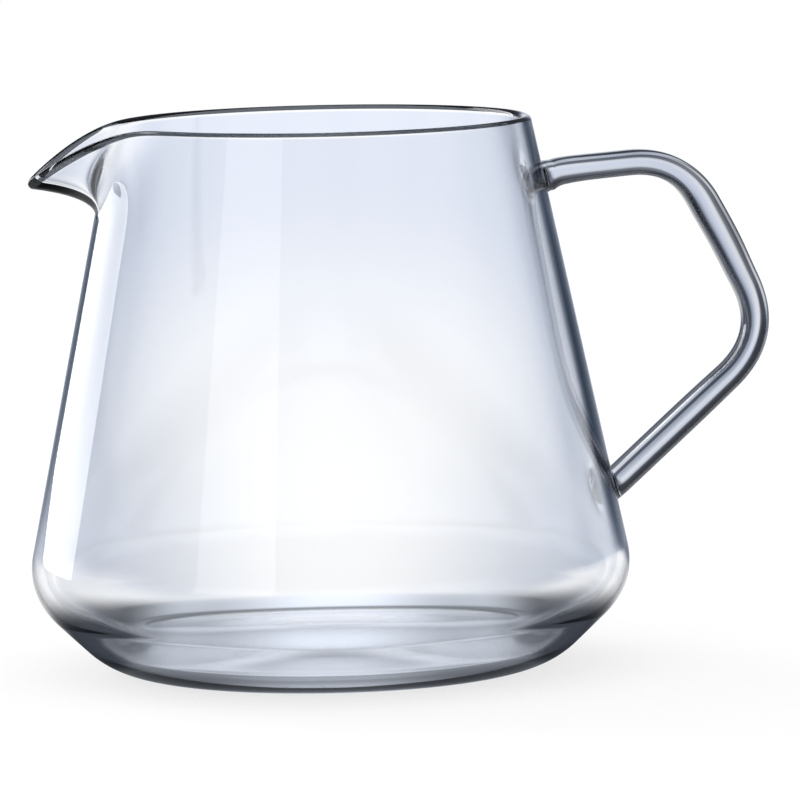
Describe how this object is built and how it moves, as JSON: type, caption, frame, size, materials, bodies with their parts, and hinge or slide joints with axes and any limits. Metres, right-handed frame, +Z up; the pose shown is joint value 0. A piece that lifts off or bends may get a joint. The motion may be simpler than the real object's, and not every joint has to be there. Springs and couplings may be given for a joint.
{
  "type": "coffee server carafe",
  "caption": "Conical clear glass coffee server with a wide flat base, a pulled pointed pouring lip and an angular solid glass handle fused to its wall.",
  "frame": {"origin": "centre of the foot on the table plane, on the axis of the vessel", "axes": "+Z up along the vessel's axis, +X towards the handle, -X towards the pouring lip, XZ the plane of symmetry"},
  "size_m": [0.1429, 0.1142, 0.105],
  "materials": {
    "clear_glass": "clear fire-polished borosilicate",
    "rod_glass": "clear solid borosilicate rod"
  },
  "bodies": {
    "root": {"glass_body": "clear_glass", "handle": "rod_glass", "upper_handle_seal": "rod_glass", "lower_handle_seal": "rod_glass"}
  },
  "joints": []
}
